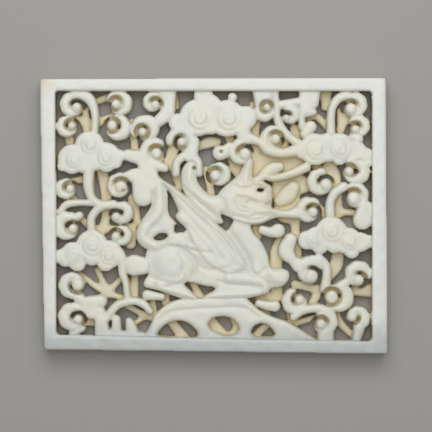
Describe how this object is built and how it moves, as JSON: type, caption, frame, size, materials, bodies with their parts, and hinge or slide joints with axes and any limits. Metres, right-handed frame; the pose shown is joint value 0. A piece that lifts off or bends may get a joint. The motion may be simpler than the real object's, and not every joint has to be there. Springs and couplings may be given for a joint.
{
  "type": "openwork jade plaque",
  "caption": "Rectangular openwork stone plaque: plain border around a winged beast among clouds and curling fronds.",
  "frame": {"origin": "middle of the plaque on its flat back, in the plane that it lies on", "axes": "+X along the plaque to the right as the carving is seen, +Y to its upper edge, +Z out of the carved face"},
  "size_m": [0.0965, 0.0767, 0.008],
  "materials": {
    "jade": "softly polished greyish-white nephrite, tan in the recesses"
  },
  "bodies": {
    "root": {"jade_plaque": "jade"}
  },
  "joints": []
}
